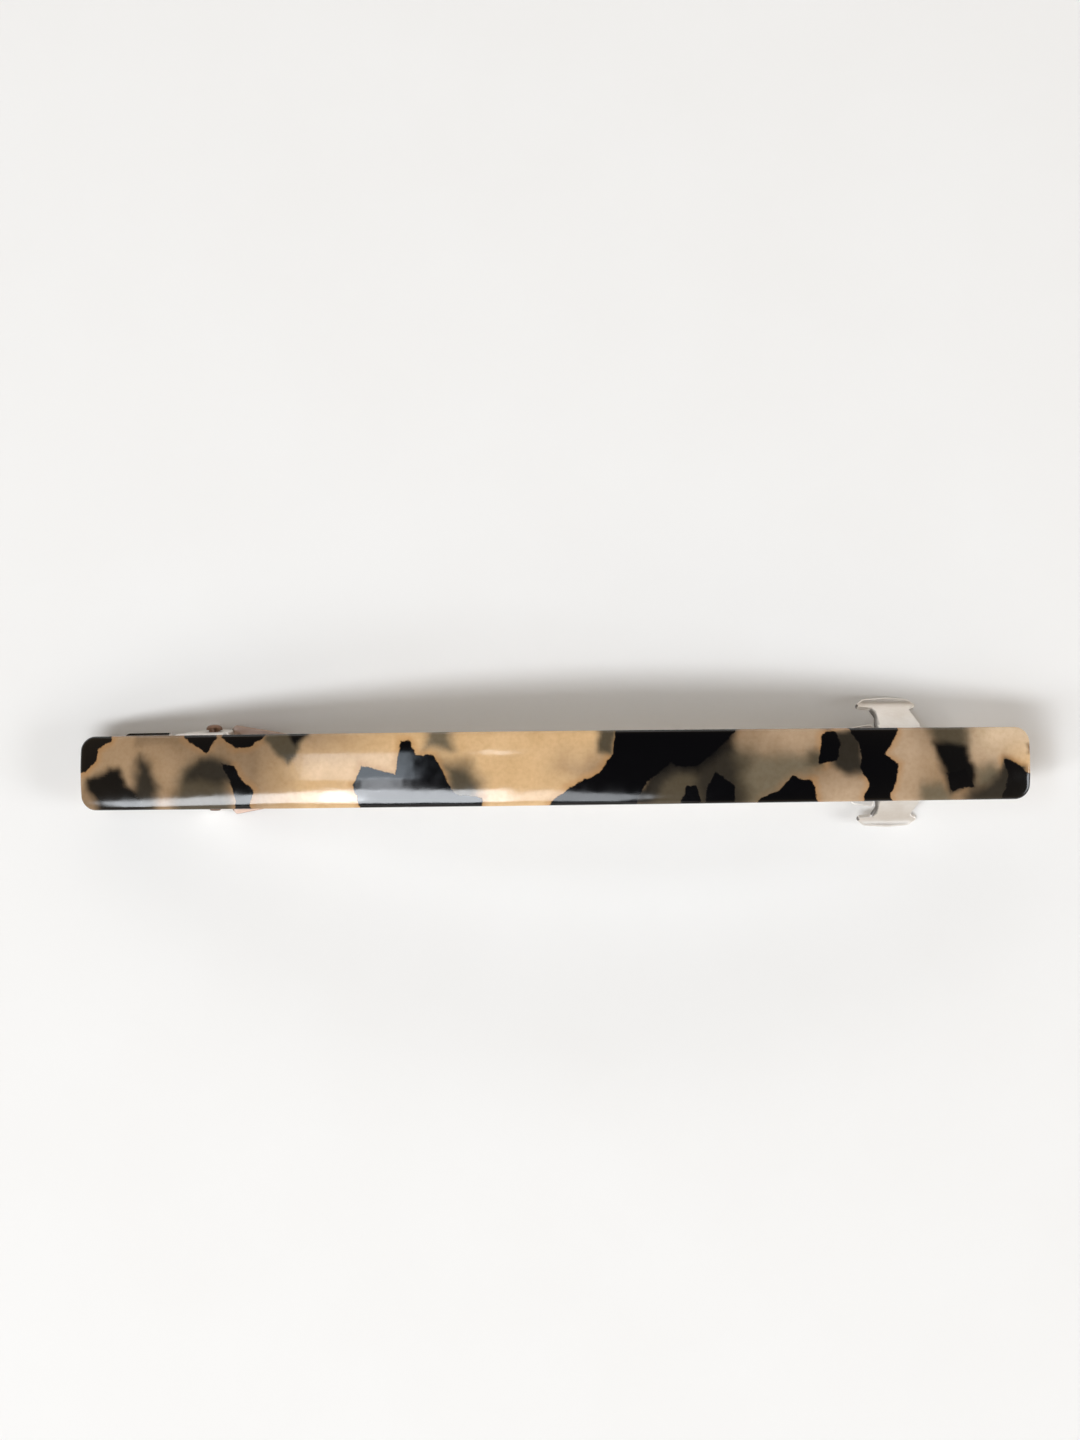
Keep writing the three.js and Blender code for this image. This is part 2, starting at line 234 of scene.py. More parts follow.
def slab(outlines, profile, spacing):
    """A solid with the outlines and the edge profile given: its flat points, faces and outward ways."""
    rows, outward, faces = [], [], []
    rings = {0: [], len(profile) - 1: []}
    for outline in outlines:
        edge = np.array(outline, float)
        normals = inward(edge)
        count = len(edge)
        first = sum(map(len, rows))
        for level, (inset, height) in enumerate(profile):
            ring = edge + normals * inset
            if level in rings:
                rings[level].append((first + level * count, ring))
            rows.append(np.column_stack((ring, np.full(count, height))))
            outward.append(-normals)
        for level in range(len(profile) - 1):
            a, b = first + level * count, first + (level + 1) * count
            ahead = [(i + 1) % count for i in range(count)]
            faces += [(a + i, a + j, b + j, b + i) for i, j in enumerate(ahead)]
    for level, loops in rings.items():
        inner, triangles = filled([ring for _, ring in loops], spacing)
        names = [start + i for start, ring in loops for i in range(len(ring))]
        first = sum(map(len, rows))
        names = np.array(names + [first + i for i in range(len(inner))])
        rows.append(np.column_stack((inner, np.full(len(inner), profile[level][1]))))
        outward.append(np.zeros((len(inner), 2)))
        faces += [tuple(names[list(t)]) for t in triangles]
    return np.concatenate(rows), faces, np.concatenate(outward)


def piece(name, points, faces, material, body, node, sharp_degrees=50):
    """A finished mesh in metres at rest, which rides on a body and stands for a CAD node."""
    mesh = bpy.data.meshes.new(name)
    mesh.from_pydata([tuple(p) for p in points], [], [tuple(int(i) for i in f) for f in faces])
    mesh.transform(TO_METRES @ REST)
    work = bmesh.new()
    work.from_mesh(mesh)
    bmesh.ops.recalc_face_normals(work, faces=work.faces)
    work.to_mesh(mesh)
    work.free()
    mesh.shade_smooth()
    mesh.set_sharp_from_angle(angle=math.radians(sharp_degrees))
    mesh.materials.append(material)
    made = bpy.data.objects.new(name, mesh)
    bpy.context.scene.collection.objects.link(made)
    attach(made, body)
    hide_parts(node)
    return made


def fold(start, degrees, length):
    """How a sheet's middle goes on from a fold: its length, way out, way up and slope.

    The fold begins at the distance from the centre line given and turns down if degrees is below 0.
    """
    total = math.radians(abs(degrees))
    up = math.copysign(1, degrees)
    turns = np.linspace(0, total, 13)
    along = np.concatenate(([0], start + FOLD_RADIUS * turns))
    out = np.concatenate(([0], start + FOLD_RADIUS * np.sin(turns)))
    rise = np.concatenate(([0], up * FOLD_RADIUS * (1 - np.cos(turns))))
    slope = np.concatenate(([0], up * turns))
    return (
        np.append(along, along[-1] + length),
        np.append(out, out[-1] + length * math.cos(total)),
        np.append(rise, rise[-1] + up * length * math.sin(total)),
        np.append(slope, up * total),
    )


def bent(flat, radius, centre_z, folds=()):
    """A flat drawing laid over an arch. Each fold is (from x, to x, path), and |y| follows the path."""
    x, y, h = flat.T
    across, rise = y.copy(), h.copy()
    for low, high, (along, out, up, slope) in folds:
        here = (x > low) & (x < high)
        s = np.abs(y)
        turn = np.interp(s, along, slope)
        side = np.sign(y)
        across = np.where(here, side * (np.interp(s, along, out) - h * np.sin(turn)), across)
        rise = np.where(here, np.interp(s, along, up) + h * np.cos(turn), rise)
    turn = np.arcsin(x / radius)
    reach = radius + rise
    return np.column_stack((reach * np.sin(turn), across, centre_z + reach * np.cos(turn)))


def smooth_line(points, steps):
    """A Catmull-Rom curve through the points."""
    points = np.array(points, float)
    padded = np.vstack((2 * points[0] - points[1], points, 2 * points[-1] - points[-2]))
    line = []
    for i in range(len(points) - 1):
        a, b, c, d = padded[i : i + 4]
        for t in np.arange(steps) / steps:
            line.append(
                0.5 * (2 * b + (c - a) * t + (2 * a - 5 * b + 4 * c - d) * t**2
                       + (3 * b - a - 3 * c + d) * t**3)
            )
    return np.array(line + [points[-1]])


def lathe(profile, segments=40):
    """A turned solid from (radius, z) pairs whose first and last radius are 0."""
    rings = profile[1:-1]
    turns = np.linspace(0, 2 * math.pi, segments, endpoint=False)
    points = [(r * math.cos(t), r * math.sin(t), z) for r, z in rings for t in turns]
    faces = []
    for ring in range(len(rings) - 1):
        a, b = ring * segments, (ring + 1) * segments
        ahead = [(i + 1) % segments for i in range(segments)]
        faces += [(a + i, a + j, b + j, b + i) for i, j in enumerate(ahead)]
    low, high = len(points), len(points) + 1
    points += [(0, 0, profile[0][1]), (0, 0, profile[-1][1])]
    last = (len(rings) - 1) * segments
    for i in range(segments):
        j = (i + 1) % segments
        faces.append((low, j, i))
        faces.append((high, last + i, last + j))
    return np.array(points), faces


def turned_on_arch(points, station, radius):
    """Points drawn about z, set square to the arch at a station."""
    turn = math.asin(station / FACE_RADIUS)
    x, y, z = points.T
    return np.column_stack((
        x * math.cos(turn) + (z + radius) * math.sin(turn),
        y,
        (z + radius) * math.cos(turn) - x * math.sin(turn) - FACE_RADIUS,
    ))


# ---------------------------------------------------------------- the tortoiseshell pattern

# Colours of the acetate, as sRGB.
HONEY = (224, 187, 140)
SAND = (170, 142, 111)
BEIGE = (186, 160, 132)
CREAM = (222, 196, 164)
TAUPE = (140, 116, 90)
MOSS = (116, 105, 86)
OLIVE = (84, 75, 60)
SMOKE = (50, 45, 38)
SOOT = (12, 12, 13)
UMBER = (104, 70, 38)
CHIP_BLACK = (7, 7, 9)
RIM_AMBER = (170, 116, 54)
CLOUD_TINT = (226, 220, 208)
SPECK_TINT = (224, 214, 200)

# Colours of the metal's painted light (the bar's warm reflection and painted shade), the floor and the room,
# as sRGB.
PAINTED_BAR_REFLECTION_COPPER = (172, 130, 104)
PAINTED_SHADE_BLACK = (24, 18, 15)
FLOOR_WHITE = (240, 239, 237)
FLOOR_FLECK = (236, 234, 231)
ROOM_ABOVE = (48, 45, 42)
ROOM_ROUND = (174, 153, 124)
ROOM_WALL = (238, 237, 234)

# The ground's colours along the bar: station, then behind, in the middle and in front.
GROUND = [
    (-50, SAND, SAND, TAUPE), (-44, SAND, SAND, TAUPE), (-38, TAUPE, SAND, SAND), (-31, TAUPE, TAUPE, SAND),
    (-25, SAND, HONEY, HONEY), (-16, HONEY, HONEY, HONEY), (-2, HONEY, HONEY, HONEY),
    (4, HONEY, SAND, HONEY), (18, TAUPE, MOSS, MOSS), (24, BEIGE, TAUPE, TAUPE), (29, BEIGE, TAUPE, BEIGE),
    (37, BEIGE, BEIGE, BEIGE), (41, TAUPE, SAND, TAUPE), (46, CREAM, BEIGE, TAUPE), (50, CREAM, HONEY, SAND),
]
GROUND_ROWS = (3, 0, -3)
BEYOND = 7  # chips that cross the face's edge go this far from its centre line, down the bar's side

# Sharp-edged black chips, as (station, distance from the bar's centre line) in millimetres. Many corners
# are places measured on the photograph, thinned out and rounded to half a millimetre.
CHIPS = [
    [(-46.5, BEYOND), (-46.5, 3.5), (-48, 2.5), (-48, 1.5), (-49.5, 0), (-53, 0), (-53, BEYOND)],
    [(-39, BEYOND), (-38.5, 3.5), (-36, 2), (-35, 3.5), (-35.5, BEYOND)],
    [(-34, BEYOND), (-34.5, 3.5), (-33, 2.5), (-31.5, 2.5), (-30, 3.5), (-28.5, BEYOND)],
    [(-34.5, 1), (-33, 0.5), (-32.5, -0.5), (-31, -2), (-31.5, -3.5), (-31, -BEYOND), (-33.5, -BEYOND),
     (-33, -3), (-33.5, -1)],
    [(-19.5, 0.5), (-16, -0.5), (-15.5, 3), (-14.5, 3), (-14, 1.5), (-12, 1.5), (-10, -2.5), (-7, -3),
     (-7.5, -BEYOND), (-19, -BEYOND), (-20.5, -1.5)],
    [(7, BEYOND), (6.5, 1.5), (5, -0.5), (2, -2), (0, -3.5), (-1.5, -BEYOND), (8, -BEYOND), (9, -3),
     (10, -1.5), (12.5, 0.5), (13, 0), (15, 0), (17.5, 2), (19, 3.5), (20.5, BEYOND)],
    [(13.5, -3.5), (14, -2), (15, -2), (15.5, -3.5), (15, -BEYOND), (13, -BEYOND)],
    [(16, -3.5), (16, -2.5), (17, -0.5), (19, -2), (19, -3.5), (18, -BEYOND), (16.5, -BEYOND)],
    [(21.5, -3.5), (23.5, -2.5), (25, -1), (26, -1.5), (27, -1.5), (27.5, -3.5), (28.5, -BEYOND),
     (20.5, -BEYOND)],
    [(28, 3), (28.5, 3.5), (29.5, 3.5), (30, 2), (29.5, 0.5), (27.5, 0), (28, 2.5)],
    [(36, BEYOND), (36, 3.5), (35.5, 2.5), (34.5, 1), (36, 0), (35.5, -2.5), (35, -3), (37, -BEYOND),
     (32, -BEYOND), (32.5, -3), (33, -2), (32, -0.5), (32, 2), (31, 3.5), (29.5, BEYOND)],
    [(41, -1), (41.5, -3), (42.5, -2.5), (44, -2.5), (43, -0.5)],
    [(47, 0.5), (48.5, 0), (49.5, -1), (53, -1.5), (53, -BEYOND), (47.5, -BEYOND), (47, -3.5),
     (47.5, -2), (47.5, -1)],
]

# Chips deeper in the acetate, in the order they are laid: colour, how blurred the edge is, outline. Some
# of these corners go back to the photograph in the same way.
DEEP_CHIPS = [
    (TAUPE, 0.5, [(-44, 3), (-39, 3), (-38.5, BEYOND), (-44.5, BEYOND)]),
    (SMOKE, 0.8, [(-43, 2), (-44, 0), (-44, -1), (-43.5, -BEYOND), (-42, -BEYOND), (-41.5, -1.5),
                  (-42, 0.5)]),
    (SOOT, 0.5, [(-49, -0.5), (-48, 0), (-46.5, 0.5), (-45.5, 0), (-45, -1), (-43.5, -2), (-43, -3),
                 (-43.5, -BEYOND), (-48, -BEYOND), (-48.5, -3), (-49, -2)]),
    (OLIVE, 1.1, [(-37, 1.5), (-38.5, 0.5), (-39.5, -1), (-40, -BEYOND), (-33, -BEYOND), (-33.5, -0.5),
                  (-34.5, 1.5)]),
    (SMOKE, 0.7, [(-37, 1.5), (-38, 0.5), (-38.5, -1), (-34.5, -1.5), (-33, -1), (-33.5, 1), (-35, 1.5)]),
    (OLIVE, 0.4, [(-30, 3), (-28, 1.5), (-27.5, 0.5), (-26.5, 1.5), (-25, 3.5), (-24.5, BEYOND),
                  (-29.5, BEYOND)]),
    (SOOT, 0.25, [(-27, 3.5), (-26.5, 2.5), (-25, 3.5), (-25, BEYOND), (-27.5, BEYOND)]),
    (MOSS, 0.8, [(-13, 2), (-10, 2), (-10, BEYOND), (-13, BEYOND)]),
    (OLIVE, 1.3, [(-11.5, 1), (-8, 0.5), (-7, -1.5), (-8, -BEYOND), (-10.5, -BEYOND), (-11, -1.5)]),
    (OLIVE, 0.5, [(4.5, BEYOND), (5, 1.5), (6.5, 1), (7.5, BEYOND)]),
    (OLIVE, 1.2, [(9, -BEYOND), (9, -3.5), (10, -1.5), (12.5, 0.5), (16, 2), (19, 2), (21, 1), (23, -3.5),
                  (23, -BEYOND)]),
    (MOSS, 1, [(21, 1), (27.5, 1), (27.5, -0.5), (24, -2), (22, -BEYOND), (20.5, -BEYOND), (20.5, -1)]),
    (SMOKE, 0.9, [(15, 1), (18, 2), (19.5, -0.5), (20, -BEYOND), (15, -BEYOND)]),
    (SMOKE, 0.6, [(8, -4), (8.5, -2.5), (12, 1), (15.5, 1), (18.5, 2.5), (19, 1.5), (16.5, -0.5),
                  (12.5, -1), (10, -4)]),
    (OLIVE, 0.6, [(26.5, 1.5), (28, 1.5), (28, 0), (26.5, 0)]),
    (SMOKE, 0.6, [(28.5, BEYOND), (28.5, 3.5), (31, 3.5), (32.5, 2.5), (32.5, -1), (30.5, -1), (29, 0)]),
    (MOSS, 0.8, [(38.5, -2), (40.5, -2), (41.5, -3), (42, -BEYOND), (38, -BEYOND)]),
    (OLIVE, 0.8, [(39.5, 2.5), (41, 1), (43, 1), (44, BEYOND), (39, BEYOND)]),
    (MOSS, 0.8, [(44, -0.5), (46, 0), (47, -1), (46.5, -2), (44, -2.5)]),
    (SMOKE, 0.9, [(43.5, -3), (45, -2), (46.5, -1), (48, 0), (48, -BEYOND), (43, -BEYOND)]),
    (SMOKE, 0.5, [(47, 0.5), (49.5, -0.5), (50.5, -BEYOND), (46.5, -BEYOND)]),
    (SOOT, 0.5, [(39.5, 2.5), (40, 0.5), (41.5, -3), (44, -2.5), (44, -0.5), (43, 2), (41, 2)]),
    (SOOT, 0.8, [(8.5, -4.5), (9, -3), (10, -1.5), (12.5, 0), (15, -0.5), (19, 2.5), (19.5, 4), (12, 4)]),
    (UMBER, 0.3, [(49.5, 2), (49.5, 1), (53, 1), (53, 2)]),
]
# How the ground and the deep chips' outlines wander, as (features a millimetre, reach in millimetres).
WARPS = ((0.45, 0.55), (1.7, 0.14))


def linear(colour):
    """An sRGB colour from 0 to 255, as linear light."""
    share = np.array(colour, float) / 255
    return np.where(share <= 0.04045, share / 12.92, ((share + 0.055) / 1.055) ** 2.4)


def wandering(places):
    """The places, each pushed a little by smooth noise."""
    moved = places.copy()
    for scale, reach in WARPS:
        for row, (x, y) in enumerate(places):
            moved[row, 0] += reach * noise_at((x * scale, y * scale, 0))
            moved[row, 1] += reach * noise_at((x * scale, y * scale, 9))
    return moved


def acetate_colour(places):
    """The acetate's colour at (station, distance from the centre line), without its sharp chips."""
    places = wandering(places)
    stations = [station for station, *_ in GROUND]
    rows = []
    for row in range(len(GROUND_ROWS)):
        tones = np.array([linear(tones[row]) for _, *tones in GROUND])
        rows.append(np.column_stack([np.interp(places[:, 0], stations, tones[:, c]) for c in range(3)]))
    rear, middle, front = rows
    share = np.clip(places[:, 1] / GROUND_ROWS[0], -1, 1)[:, None]
    colour = middle + np.where(share > 0, rear - middle, front - middle) * np.abs(share)
    for tone, blur, outline in DEEP_CHIPS:
        t = np.clip(0.5 - signed_distance(places, outline) / (2 * blur), 0, 1)
        share = (t * t * (3 - 2 * t))[:, None]
        colour = colour * (1 - share) + linear(tone) * share
    return colour


# ---------------------------------------------------------------- material helpers


def new_material(name):
    """A new material with its nodes and links."""
    material = bpy.data.materials.new(name)
    material.use_nodes = True
    return material, material.node_tree.nodes, material.node_tree.links


def set_all(node, **values):
    """Set a node's inputs by name, with _ for a space."""
    for name, value in values.items():
        node.inputs[name.replace("_", " ")].default_value = value


def attribute(nodes, name):
    """A node that reads one of the mesh's attributes."""
    made = nodes.new("ShaderNodeAttribute")
    made.attribute_name = name
    return made


def noise(nodes, links, where, scale, detail=2.0, roughness=0.5):
    """Noise from 0 to 1 at so many features a millimetre."""
    made = nodes.new("ShaderNodeTexNoise")
    set_all(made, Scale=scale, Detail=detail, Roughness=roughness)
    links.new(where, made.inputs["Vector"])
    return made.outputs["Fac"]


def ramp(nodes, links, value, from_low, from_high, to_low, to_high, smooth=False):
    """A value mapped from one range to another, and clamped."""
    made = nodes.new("ShaderNodeMapRange")
    made.interpolation_type = "SMOOTHSTEP" if smooth else "LINEAR"
    links.new(value, made.inputs["Value"])
    names = ("From Min", "From Max", "To Min", "To Max")
    for name, number in zip(names, (from_low, from_high, to_low, to_high)):
        made.inputs[name].default_value = number
    return made.outputs["Result"]


def calculate(nodes, links, operation, a, b):
    """What the operation makes of two sockets' values."""
    made = nodes.new("ShaderNodeMath")
    made.operation = operation
    links.new(a, made.inputs[0])
    links.new(b, made.inputs[1])
    return made.outputs["Value"]


def mixed(nodes, links, share, a, b, blend="MIX"):
    """Two colours mixed by a socket's share. Each colour is a socket or sRGB."""
    made = nodes.new("ShaderNodeMix")
    made.data_type = "RGBA"
    made.blend_type = blend
    for index, value in ((6, a), (7, b)):
        if isinstance(value, tuple):
            made.inputs[index].default_value = (*linear(value), 1)
        else:
            links.new(value, made.inputs[index])
    links.new(share, made.inputs[0])
    return made.outputs[2]


def millimetres(nodes, links, stretch=(1, 1, 1)):
    """The place on the piece, in millimetres."""
    place = nodes.new("ShaderNodeTexCoord")
    scaled = nodes.new("ShaderNodeMapping")
    scaled.inputs["Scale"].default_value = [1000 * s for s in stretch]
    links.new(place.outputs["Object"], scaled.inputs["Vector"])
    return scaled.outputs["Vector"]


def bumped(nodes, links, height, depth, shader):
    """Bump of that depth in millimetres."""
    made = nodes.new("ShaderNodeBump")
    set_all(made, Strength=1.0, Distance=depth / 1000)
    links.new(height, made.inputs["Height"])
    links.new(made.outputs["Normal"], shader.inputs["Normal"])


# ---------------------------------------------------------------- materials


def acetate_material():
    """Tortoiseshell: blurred chips from the mesh's colours, ragged black ones with amber rims."""
    material, nodes, links = new_material("tortoiseshell")
    shader = nodes["Principled BSDF"]
    place = millimetres(nodes, links)
    ground = attribute(nodes, "ground")
    chip = attribute(nodes, "chip")

    ragged = ramp(nodes, links, noise(nodes, links, place, 1.3, 5.0, 0.6), 0.2, 0.8, -0.19, 0.19)
    edge = calculate(nodes, links, "ADD", chip.outputs["Fac"], ragged)
    black = ramp(nodes, links, edge, -0.07, 0.09, 1.0, 0.0, smooth=True)
    glow = ramp(nodes, links, edge, 0.0, 0.8, 0.5, 0.0)
    pale = nodes.new("ShaderNodeRGBToBW")
    links.new(ground.outputs["Color"], pale.inputs["Color"])
    lit = ramp(nodes, links, pale.outputs["Val"], 0.08, 0.3, 0.0, 1.0, smooth=True)
    rim = calculate(nodes, links, "MULTIPLY", glow, lit)

    cloud = noise(nodes, links, place, 0.3, 3.0)
    grain = noise(nodes, links, place, 2.2, 3.0)
    shade = ramp(nodes, links, cloud, 0.35, 0.7, 0.0, 0.5)
    clouded = mixed(nodes, links, shade, ground.outputs["Color"], CLOUD_TINT, "MULTIPLY")
    speck = ramp(nodes, links, grain, 0.4, 0.75, 0.0, 0.35)
    mottled = mixed(nodes, links, speck, clouded, SPECK_TINT, "MULTIPLY")
    ambered = mixed(nodes, links, rim, mottled, RIM_AMBER)
    links.new(mixed(nodes, links, black, ambered, CHIP_BLACK), shader.inputs["Base Color"])

    gloss = ramp(nodes, links, noise(nodes, links, place, 0.8, 4.0), 0.3, 0.7, 0.07, 0.12)
    links.new(gloss, shader.inputs["Roughness"])
    set_all(shader, Metallic=0.0, IOR=1.49)
    bumped(nodes, links, noise(nodes, links, place, 0.3, 2.0), 0.02, shader)
    return material


def set_painted_light(made, name, amount):
    """Give a mesh's points the amount of one of the metal's two kinds of painted light: the bar's painted
    warm reflection, and painted shade.
    """
    stain = made.data.attributes.new(name, "FLOAT", "POINT")
    stain.data.foreach_set("value", np.asarray(amount, np.float32))


def metal_material(name, colour, tint, roughness, brushing=(0.25, 3, 3), depth=0.003):
    """Steel or brass with fine brushing along X, faint stains and uneven polish.

    Where the mesh's attributes say so, a coppery tint is painted in for the bar's warm reflection, and
    painted shade turns the metal nearly black.
    """
    material, nodes, links = new_material(name)
    shader = nodes["Principled BSDF"]
    place = millimetres(nodes, links)
    along = millimetres(nodes, links, brushing)
    brush = noise(nodes, links, along, 2.0, 4.0, 0.7)
    stain = ramp(nodes, links, noise(nodes, links, place, 0.45, 4.0), 0.4, 0.75, 0.0, 0.6)
    streak = ramp(nodes, links, brush, 0.3, 0.7, 0.0, 0.14)
    base = mixed(nodes, links, stain, colour, tint)
    brushed = mixed(nodes, links, streak, base, tint)
    # Painted light: a coppery tint for the bar's warm reflection, and near-black painted shade.
    painted_bar_reflection = attribute(nodes, "painted_bar_reflection")
    painted_shade = attribute(nodes, "painted_shade")
    coppery = mixed(nodes, links, painted_bar_reflection.outputs["Fac"], brushed, PAINTED_BAR_REFLECTION_COPPER)
    links.new(mixed(nodes, links, painted_shade.outputs["Fac"], coppery, PAINTED_SHADE_BLACK), shader.inputs["Base Color"])
    uneven = ramp(nodes, links, brush, 0.3, 0.7, roughness - 0.05, roughness + 0.07)
    links.new(uneven, shader.inputs["Roughness"])
    set_all(shader, Metallic=1.0)
    bumped(nodes, links, brush, depth, shader)
    return material


TORTOISESHELL = acetate_material()
CLIP_STEEL = metal_material("clip_steel", (242, 238, 233), (220, 212, 202), 0.48)
PIN_STEEL = metal_material("pin_steel", (146, 118, 100), (92, 68, 54), 0.38)
SPRING_STEEL = metal_material("spring_steel", (226, 224, 220), (190, 184, 176), 0.24)
STUD_BRASS = metal_material("stud_brass", (222, 184, 112), (168, 124, 66), 0.3, (1, 1, 1))


# ---------------------------------------------------------------- the acetate bar


def acetate_bar():
    """The polished bar, with its colours and the distances to its sharp chips stored on its points."""
    half_length = BAR_LENGTH / 2
    side = [
        (-half_length, BAR_WIDTHS[0] / 2, BAR_CORNER),
        (half_length, BAR_WIDTHS[1] / 2, BAR_CORNER),
    ]
    outline = rounded(facing(side, side))
    back = -BAR_THICKNESS
    below = [(BACK_EDGE * 1.4, back)]
    below += [(inset, back + drop) for inset, drop in quarter_round(BACK_EDGE, 4)]
    above = [(inset, -drop) for inset, drop in reversed(quarter_round(FACE_EDGE, 6))]
    walls = np.linspace(below[-1][1], above[0][1], 6)[1:-1]
    profile = below + [(0, height) for height in walls] + above
    flat, faces, outward = slab([outline], profile, 0.25)

    # The pattern runs on down the sides, so the sides are unrolled to the face's plane.
    x, y, h = flat.T
    on_back = h < back + BACK_EDGE * 0.9
    drop = np.where(on_back, 0, -h)[:, None]
    places = flat[:, :2] + outward * drop
    half_width = np.interp(x, [-half_length, half_length], [w / 2 for w in BAR_WIDTHS])
    crown = CROWN * (y / half_width) ** 2 * np.clip(1 + h / (BAR_THICKNESS / 2), 0, 1)
    flat[:, 2] -= crown
    flat[:, 1] += BAR_OFFSET
    made = piece(
        "acetate_bar_polished", bent(flat, FACE_RADIUS, -FACE_RADIUS), faces, TORTOISESHELL,
        "bar", "acetate_bar", 70,
    )
    chip = np.min([signed_distance(places, outline) for outline in CHIPS], axis=0)
    colour = np.column_stack((acetate_colour(places), np.ones(len(places))))
    chips = made.data.attributes.new("chip", "FLOAT", "POINT")
    chips.data.foreach_set("value", chip.astype(np.float32))
    ground = made.data.attributes.new("ground", "FLOAT_COLOR", "POINT")
    ground.data.foreach_set("color", colour.astype(np.float32).ravel())


# ---------------------------------------------------------------- the clip


def hinge_side_edge_shade(outward):
    """How much painted shade darkens the cut edges that face the hinge: 0.75 at most, and 0 everywhere else.
    """
    return np.clip(-3 * outward[:, 0] - 2, 0, 0.75)


def base_plate():
    """The plate, with its hinge lugs and the edges that the ears hang from folded down."""
    lug_x = PLATE_MIDDLE * PIN.x / math.hypot(PIN.x, PIN.z + FACE_RADIUS)
    lug = fold(LUG_FOLD_STARTS, -LUG_LEAN, 6)
    pin_s = np.interp(-PIN_DROP - SHEET / 2, lug[2][::-1], lug[0][::-1])
    slit = 0.2
    lug_left, lug_right = lug_x - 3.3, lug_x + LUG_RADIUS
    tab_left, tab_right = EAR_X - 2.9, EAR_X + 2.9
    tab_end = EAR_FOLD_STARTS + 0.7
    side = [
        (PLATE_ENDS[0], TONGUE_HALF_WIDTH, 0.7),
        (lug_left - slit, TONGUE_HALF_WIDTH, 0.15),
        (lug_left - slit, LUG_FOLD_STARTS, 0),
        (lug_left, LUG_FOLD_STARTS, 0),
        (lug_left, TONGUE_HALF_WIDTH + 0.5, 0.3),
        *arc((lug_x, pin_s), LUG_RADIUS, 145, 0, 14),
        (lug_right, LUG_FOLD_STARTS, 0),
        (lug_right + slit, LUG_FOLD_STARTS, 0),
        (lug_right + slit, TONGUE_HALF_WIDTH - 0.1, 0.15),
        (lug_right + 0.6, TONGUE_HALF_WIDTH - 0.1, 0.3),
        (lug_right + 1.5, PLATE_HALF_WIDTH, 0.5),
        (tab_left - slit, PLATE_HALF_WIDTH, 0.15),
        (tab_left - slit, EAR_FOLD_STARTS, 0),
        (tab_left, EAR_FOLD_STARTS, 0),
        (tab_left, tab_end, 0.15),
        (tab_right, tab_end, 0.15),
        (tab_right, EAR_FOLD_STARTS, 0),
        (tab_right + slit, EAR_FOLD_STARTS, 0),
        (tab_right + slit, PLATE_HALF_WIDTH, 0.15),
        (PLATE_ENDS[1], PLATE_HALF_WIDTH, PLATE_HALF_WIDTH - 0.1),
    ]
    studs = [PLATE_MIDDLE * station / FACE_RADIUS for station in STUD_STATIONS.values()]
    holes = [hole(x, 0, 0.9) for x in studs]
    holes += [hole(lug_x, pin_s, 0.64), hole(lug_x, -pin_s, 0.64)]
    flat, faces, outward = slab([rounded(facing(side, side)), *holes], sheet_profile(SHEET), 0.35)
    folds = [
        (lug_left - slit / 2, lug_right + slit / 2, lug),
        (tab_left - slit / 2, tab_right + slit / 2, fold(EAR_FOLD_STARTS, -90, 1)),
    ]
    points = bent(flat, PLATE_MIDDLE, -FACE_RADIUS, folds)
    made = piece("base_plate_folded", points, faces, CLIP_STEEL, "bar", "base_plate")
    on_tongue = flat[:, 0] < lug_left - slit
    # Painted shade on the tongue's side edges, which stand in shadow.
    set_painted_light(made, "painted_shade", np.where(on_tongue, np.abs(outward[:, 1]), 0))


